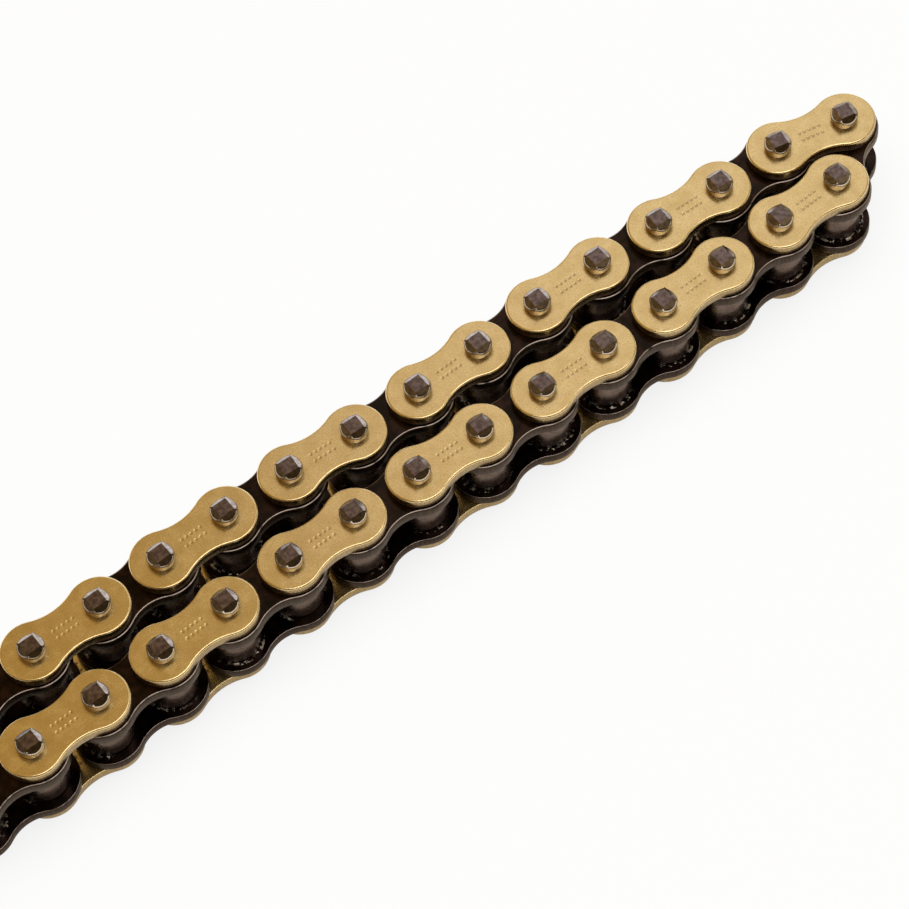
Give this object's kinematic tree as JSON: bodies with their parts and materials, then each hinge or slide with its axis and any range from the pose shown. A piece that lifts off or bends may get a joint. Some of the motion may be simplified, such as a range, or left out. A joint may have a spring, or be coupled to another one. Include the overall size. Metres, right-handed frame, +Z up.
{
  "type": "roller drive chain length",
  "caption": "Length of plain roller drive chain folded in a hairpin: gold outer plates on peened pins, black inner plates on bushes, free rollers; every pin turns.",
  "frame": {"origin": "middle of the chain's plan box, at the height of the surface that the lower pin ends stand on", "axes": "+X along the two runs towards the fold, +Y from the lower run to the upper run, +Z up along the pins"},
  "size_m": [0.1986, 0.0264, 0.0205],
  "materials": {
    "gold_plated_steel": "gold-coloured plating over steel, satin, with darker pins",
    "black_steel": "heat-treated black, oiled, semi-gloss",
    "roller_steel": "dark satin steel, oiled"
  },
  "bodies": {
    "fold_inner_link": {"fold_inner_link": "black_steel"},
    "fold_roller_upper": {"fold_roller_upper": "roller_steel"},
    "fold_roller_lower": {"fold_roller_lower": "roller_steel"},
    "upper_outer_link_1": {"upper_outer_link_1": "gold_plated_steel"},
    "upper_outer_link_2": {"upper_outer_link_2": "gold_plated_steel"},
    "upper_outer_link_3": {"upper_outer_link_3": "gold_plated_steel"},
    "upper_outer_link_4": {"upper_outer_link_4": "gold_plated_steel"},
    "upper_outer_link_5": {"upper_outer_link_5": "gold_plated_steel"},
    "upper_outer_link_6": {"upper_outer_link_6": "gold_plated_steel"},
    "upper_outer_link_7": {"upper_outer_link_7": "gold_plated_steel"},
    "lower_outer_link_1": {"lower_outer_link_1": "gold_plated_steel"},
    "lower_outer_link_2": {"lower_outer_link_2": "gold_plated_steel"},
    "lower_outer_link_3": {"lower_outer_link_3": "gold_plated_steel"},
    "lower_outer_link_4": {"lower_outer_link_4": "gold_plated_steel"},
    "lower_outer_link_5": {"lower_outer_link_5": "gold_plated_steel"},
    "lower_outer_link_6": {"lower_outer_link_6": "gold_plated_steel"},
    "lower_outer_link_7": {"lower_outer_link_7": "gold_plated_steel"},
    "upper_inner_link_1": {"upper_inner_link_1": "black_steel"},
    "upper_inner_link_2": {"upper_inner_link_2": "black_steel"},
    "upper_inner_link_3": {"upper_inner_link_3": "black_steel"},
    "upper_inner_link_4": {"upper_inner_link_4": "black_steel"},
    "upper_inner_link_5": {"upper_inner_link_5": "black_steel"},
    "upper_inner_link_6": {"upper_inner_link_6": "black_steel"},
    "upper_inner_link_7": {"upper_inner_link_7": "black_steel"},
    "lower_inner_link_1": {"lower_inner_link_1": "black_steel"},
    "lower_inner_link_2": {"lower_inner_link_2": "black_steel"},
    "lower_inner_link_3": {"lower_inner_link_3": "black_steel"},
    "lower_inner_link_4": {"lower_inner_link_4": "black_steel"},
    "lower_inner_link_5": {"lower_inner_link_5": "black_steel"},
    "lower_inner_link_6": {"lower_inner_link_6": "black_steel"},
    "lower_inner_link_7": {"lower_inner_link_7": "black_steel"},
    "upper_roller_2": {"upper_roller_2": "roller_steel"},
    "upper_roller_3": {"upper_roller_3": "roller_steel"},
    "upper_roller_4": {"upper_roller_4": "roller_steel"},
    "upper_roller_5": {"upper_roller_5": "roller_steel"},
    "upper_roller_6": {"upper_roller_6": "roller_steel"},
    "upper_roller_7": {"upper_roller_7": "roller_steel"},
    "upper_roller_8": {"upper_roller_8": "roller_steel"},
    "upper_roller_9": {"upper_roller_9": "roller_steel"},
    "upper_roller_10": {"upper_roller_10": "roller_steel"},
    "upper_roller_11": {"upper_roller_11": "roller_steel"},
    "upper_roller_12": {"upper_roller_12": "roller_steel"},
    "upper_roller_13": {"upper_roller_13": "roller_steel"},
    "upper_roller_14": {"upper_roller_14": "roller_steel"},
    "upper_roller_15": {"upper_roller_15": "roller_steel"},
    "lower_roller_2": {"lower_roller_2": "roller_steel"},
    "lower_roller_3": {"lower_roller_3": "roller_steel"},
    "lower_roller_4": {"lower_roller_4": "roller_steel"},
    "lower_roller_5": {"lower_roller_5": "roller_steel"},
    "lower_roller_6": {"lower_roller_6": "roller_steel"},
    "lower_roller_7": {"lower_roller_7": "roller_steel"},
    "lower_roller_8": {"lower_roller_8": "roller_steel"},
    "lower_roller_9": {"lower_roller_9": "roller_steel"},
    "lower_roller_10": {"lower_roller_10": "roller_steel"},
    "lower_roller_11": {"lower_roller_11": "roller_steel"},
    "lower_roller_12": {"lower_roller_12": "roller_steel"},
    "lower_roller_13": {"lower_roller_13": "roller_steel"},
    "lower_roller_14": {"lower_roller_14": "roller_steel"},
    "lower_roller_15": {"lower_roller_15": "roller_steel"}
  },
  "joints": [
    {"name": "fold_upper_pin", "type": "hinge", "parent": "fold_inner_link", "child": "upper_outer_link_1", "pos_m": [0.09343, 0.00322, 0.01022], "axis": [0, 0, 1], "range_deg": [-123.87, 0]},
    {"name": "upper_pin_2", "type": "hinge", "parent": "upper_outer_link_1", "child": "upper_inner_link_1", "pos_m": [0.081, 0.00582, 0.01022], "axis": [0, 0, -1], "range_deg": [0, 34]},
    {"name": "upper_pin_3", "type": "hinge", "parent": "upper_inner_link_1", "child": "upper_outer_link_2", "pos_m": [0.0683, 0.00588, 0.01022], "axis": [0, 0, -1], "range_deg": [0, 22.5]},
    {"name": "upper_pin_4", "type": "hinge", "parent": "upper_outer_link_2", "child": "upper_inner_link_2", "pos_m": [0.05561, 0.00643, 0.01022], "axis": [0, 0, -1], "range_deg": [0, 22.5]},
    {"name": "upper_pin_5", "type": "hinge", "parent": "upper_inner_link_2", "child": "upper_outer_link_3", "pos_m": [0.04292, 0.00691, 0.01022], "axis": [0, 0, -1], "range_deg": [0, 22.5]},
    {"name": "upper_pin_6", "type": "hinge", "parent": "upper_outer_link_3", "child": "upper_inner_link_3", "pos_m": [0.03022, 0.00686, 0.01022], "axis": [0, 0, -1], "range_deg": [0, 22.5]},
    {"name": "upper_pin_7", "type": "hinge", "parent": "upper_inner_link_3", "child": "upper_outer_link_4", "pos_m": [0.01753, 0.00641, 0.01022], "axis": [0, 0, -1], "range_deg": [0, 22.5]},
    {"name": "upper_pin_8", "type": "hinge", "parent": "upper_outer_link_4", "child": "upper_inner_link_4", "pos_m": [0.00483, 0.00614, 0.01022], "axis": [0, 0, -1], "range_deg": [0, 22.5]},
    {"name": "upper_pin_9", "type": "hinge", "parent": "upper_inner_link_4", "child": "upper_outer_link_5", "pos_m": [-0.00787, 0.00644, 0.01022], "axis": [0, 0, -1], "range_deg": [0, 22.5]},
    {"name": "upper_pin_10", "type": "hinge", "parent": "upper_outer_link_5", "child": "upper_inner_link_5", "pos_m": [-0.02055, 0.00704, 0.01022], "axis": [0, 0, -1], "range_deg": [0, 22.5]},
    {"name": "upper_pin_11", "type": "hinge", "parent": "upper_inner_link_5", "child": "upper_outer_link_6", "pos_m": [-0.03325, 0.00734, 0.01022], "axis": [0, 0, -1], "range_deg": [0, 22.5]},
    {"name": "upper_pin_12", "type": "hinge", "parent": "upper_outer_link_6", "child": "upper_inner_link_6", "pos_m": [-0.04595, 0.00707, 0.01022], "axis": [0, 0, -1], "range_deg": [0, 22.5]},
    {"name": "upper_pin_13", "type": "hinge", "parent": "upper_inner_link_6", "child": "upper_outer_link_7", "pos_m": [-0.05864, 0.00662, 0.01022], "axis": [0, 0, -1], "range_deg": [0, 22.5]},
    {"name": "upper_pin_14", "type": "hinge", "parent": "upper_outer_link_7", "child": "upper_inner_link_7", "pos_m": [-0.07134, 0.00657, 0.01022], "axis": [0, 0, -1], "range_deg": [0, 22.5]},
    {"name": "fold_lower_pin", "type": "hinge", "parent": "fold_inner_link", "child": "lower_outer_link_1", "pos_m": [0.08434, -0.00565, 0.01022], "axis": [0, 0, -1], "range_deg": [-43.05, 0]},
    {"name": "lower_pin_2", "type": "hinge", "parent": "lower_outer_link_1", "child": "lower_inner_link_1", "pos_m": [0.07165, -0.00594, 0.01022], "axis": [0, 0, 1], "range_deg": [0, 22.5]},
    {"name": "lower_pin_3", "type": "hinge", "parent": "lower_inner_link_1", "child": "lower_outer_link_2", "pos_m": [0.05895, -0.00627, 0.01022], "axis": [0, 0, 1], "range_deg": [0, 22.5]},
    {"name": "lower_pin_4", "type": "hinge", "parent": "lower_outer_link_2", "child": "lower_inner_link_2", "pos_m": [0.04625, -0.00654, 0.01022], "axis": [0, 0, 1], "range_deg": [0, 22.5]},
    {"name": "lower_pin_5", "type": "hinge", "parent": "lower_inner_link_2", "child": "lower_outer_link_3", "pos_m": [0.03356, -0.00668, 0.01022], "axis": [0, 0, 1], "range_deg": [0, 22.5]},
    {"name": "lower_pin_6", "type": "hinge", "parent": "lower_outer_link_3", "child": "lower_inner_link_3", "pos_m": [0.02086, -0.00665, 0.01022], "axis": [0, 0, 1], "range_deg": [0, 22.5]},
    {"name": "lower_pin_7", "type": "hinge", "parent": "lower_inner_link_3", "child": "lower_outer_link_4", "pos_m": [0.00816, -0.00648, 0.01022], "axis": [0, 0, 1], "range_deg": [0, 22.5]},
    {"name": "lower_pin_8", "type": "hinge", "parent": "lower_outer_link_4", "child": "lower_inner_link_4", "pos_m": [-0.00454, -0.00629, 0.01022], "axis": [0, 0, 1], "range_deg": [0, 22.5]},
    {"name": "lower_pin_9", "type": "hinge", "parent": "lower_inner_link_4", "child": "lower_outer_link_5", "pos_m": [-0.01724, -0.00616, 0.01022], "axis": [0, 0, 1], "range_deg": [0, 22.5]},
    {"name": "lower_pin_10", "type": "hinge", "parent": "lower_outer_link_5", "child": "lower_inner_link_5", "pos_m": [-0.02994, -0.00617, 0.01022], "axis": [0, 0, 1], "range_deg": [0, 22.5]},
    {"name": "lower_pin_11", "type": "hinge", "parent": "lower_inner_link_5", "child": "lower_outer_link_6", "pos_m": [-0.04264, -0.00635, 0.01022], "axis": [0, 0, 1], "range_deg": [0, 22.5]},
    {"name": "lower_pin_12", "type": "hinge", "parent": "lower_outer_link_6", "child": "lower_inner_link_6", "pos_m": [-0.05534, -0.00666, 0.01022], "axis": [0, 0, 1], "range_deg": [0, 22.5]},
    {"name": "lower_pin_13", "type": "hinge", "parent": "lower_inner_link_6", "child": "lower_outer_link_7", "pos_m": [-0.06803, -0.00698, 0.01022], "axis": [0, 0, 1], "range_deg": [0, 22.5]},
    {"name": "lower_pin_14", "type": "hinge", "parent": "lower_outer_link_7", "child": "lower_inner_link_7", "pos_m": [-0.08073, -0.00724, 0.01022], "axis": [0, 0, 1], "range_deg": [0, 22.5]},
    {"name": "fold_roller_upper_spin", "type": "hinge", "parent": "fold_inner_link", "child": "fold_roller_upper", "pos_m": [0.09343, 0.00322, 0.01022], "axis": [0, 0, 1], "continuous": true},
    {"name": "upper_roller_2_spin", "type": "hinge", "parent": "upper_inner_link_1", "child": "upper_roller_2", "pos_m": [0.081, 0.00582, 0.01022], "axis": [0, 0, 1], "continuous": true},
    {"name": "upper_roller_3_spin", "type": "hinge", "parent": "upper_inner_link_1", "child": "upper_roller_3", "pos_m": [0.0683, 0.00588, 0.01022], "axis": [0, 0, 1], "continuous": true},
    {"name": "upper_roller_4_spin", "type": "hinge", "parent": "upper_inner_link_2", "child": "upper_roller_4", "pos_m": [0.05561, 0.00643, 0.01022], "axis": [0, 0, 1], "continuous": true},
    {"name": "upper_roller_5_spin", "type": "hinge", "parent": "upper_inner_link_2", "child": "upper_roller_5", "pos_m": [0.04292, 0.00691, 0.01022], "axis": [0, 0, 1], "continuous": true},
    {"name": "upper_roller_6_spin", "type": "hinge", "parent": "upper_inner_link_3", "child": "upper_roller_6", "pos_m": [0.03022, 0.00686, 0.01022], "axis": [0, 0, 1], "continuous": true},
    {"name": "upper_roller_7_spin", "type": "hinge", "parent": "upper_inner_link_3", "child": "upper_roller_7", "pos_m": [0.01753, 0.00641, 0.01022], "axis": [0, 0, 1], "continuous": true},
    {"name": "upper_roller_8_spin", "type": "hinge", "parent": "upper_inner_link_4", "child": "upper_roller_8", "pos_m": [0.00483, 0.00614, 0.01022], "axis": [0, 0, 1], "continuous": true},
    {"name": "upper_roller_9_spin", "type": "hinge", "parent": "upper_inner_link_4", "child": "upper_roller_9", "pos_m": [-0.00787, 0.00644, 0.01022], "axis": [0, 0, 1], "continuous": true},
    {"name": "upper_roller_10_spin", "type": "hinge", "parent": "upper_inner_link_5", "child": "upper_roller_10", "pos_m": [-0.02055, 0.00704, 0.01022], "axis": [0, 0, 1], "continuous": true},
    {"name": "upper_roller_11_spin", "type": "hinge", "parent": "upper_inner_link_5", "child": "upper_roller_11", "pos_m": [-0.03325, 0.00734, 0.01022], "axis": [0, 0, 1], "continuous": true},
    {"name": "upper_roller_12_spin", "type": "hinge", "parent": "upper_inner_link_6", "child": "upper_roller_12", "pos_m": [-0.04595, 0.00707, 0.01022], "axis": [0, 0, 1], "continuous": true},
    {"name": "upper_roller_13_spin", "type": "hinge", "parent": "upper_inner_link_6", "child": "upper_roller_13", "pos_m": [-0.05864, 0.00662, 0.01022], "axis": [0, 0, 1], "continuous": true},
    {"name": "upper_roller_14_spin", "type": "hinge", "parent": "upper_inner_link_7", "child": "upper_roller_14", "pos_m": [-0.07134, 0.00657, 0.01022], "axis": [0, 0, 1], "continuous": true},
    {"name": "upper_roller_15_spin", "type": "hinge", "parent": "upper_inner_link_7", "child": "upper_roller_15", "pos_m": [-0.08403, 0.00705, 0.01022], "axis": [0, 0, 1], "continuous": true},
    {"name": "fold_roller_lower_spin", "type": "hinge", "parent": "fold_inner_link", "child": "fold_roller_lower", "pos_m": [0.08434, -0.00565, 0.01022], "axis": [0, 0, 1], "continuous": true},
    {"name": "lower_roller_2_spin", "type": "hinge", "parent": "lower_inner_link_1", "child": "lower_roller_2", "pos_m": [0.07165, -0.00594, 0.01022], "axis": [0, 0, 1], "continuous": true},
    {"name": "lower_roller_3_spin", "type": "hinge", "parent": "lower_inner_link_1", "child": "lower_roller_3", "pos_m": [0.05895, -0.00627, 0.01022], "axis": [0, 0, 1], "continuous": true},
    {"name": "lower_roller_4_spin", "type": "hinge", "parent": "lower_inner_link_2", "child": "lower_roller_4", "pos_m": [0.04625, -0.00654, 0.01022], "axis": [0, 0, 1], "continuous": true},
    {"name": "lower_roller_5_spin", "type": "hinge", "parent": "lower_inner_link_2", "child": "lower_roller_5", "pos_m": [0.03356, -0.00668, 0.01022], "axis": [0, 0, 1], "continuous": true},
    {"name": "lower_roller_6_spin", "type": "hinge", "parent": "lower_inner_link_3", "child": "lower_roller_6", "pos_m": [0.02086, -0.00665, 0.01022], "axis": [0, 0, 1], "continuous": true},
    {"name": "lower_roller_7_spin", "type": "hinge", "parent": "lower_inner_link_3", "child": "lower_roller_7", "pos_m": [0.00816, -0.00648, 0.01022], "axis": [0, 0, 1], "continuous": true},
    {"name": "lower_roller_8_spin", "type": "hinge", "parent": "lower_inner_link_4", "child": "lower_roller_8", "pos_m": [-0.00454, -0.00629, 0.01022], "axis": [0, 0, 1], "continuous": true},
    {"name": "lower_roller_9_spin", "type": "hinge", "parent": "lower_inner_link_4", "child": "lower_roller_9", "pos_m": [-0.01724, -0.00616, 0.01022], "axis": [0, 0, 1], "continuous": true},
    {"name": "lower_roller_10_spin", "type": "hinge", "parent": "lower_inner_link_5", "child": "lower_roller_10", "pos_m": [-0.02994, -0.00617, 0.01022], "axis": [0, 0, 1], "continuous": true},
    {"name": "lower_roller_11_spin", "type": "hinge", "parent": "lower_inner_link_5", "child": "lower_roller_11", "pos_m": [-0.04264, -0.00635, 0.01022], "axis": [0, 0, 1], "continuous": true},
    {"name": "lower_roller_12_spin", "type": "hinge", "parent": "lower_inner_link_6", "child": "lower_roller_12", "pos_m": [-0.05534, -0.00666, 0.01022], "axis": [0, 0, 1], "continuous": true},
    {"name": "lower_roller_13_spin", "type": "hinge", "parent": "lower_inner_link_6", "child": "lower_roller_13", "pos_m": [-0.06803, -0.00698, 0.01022], "axis": [0, 0, 1], "continuous": true},
    {"name": "lower_roller_14_spin", "type": "hinge", "parent": "lower_inner_link_7", "child": "lower_roller_14", "pos_m": [-0.08073, -0.00724, 0.01022], "axis": [0, 0, 1], "continuous": true},
    {"name": "lower_roller_15_spin", "type": "hinge", "parent": "lower_inner_link_7", "child": "lower_roller_15", "pos_m": [-0.09343, -0.00734, 0.01022], "axis": [0, 0, 1], "continuous": true}
  ]
}
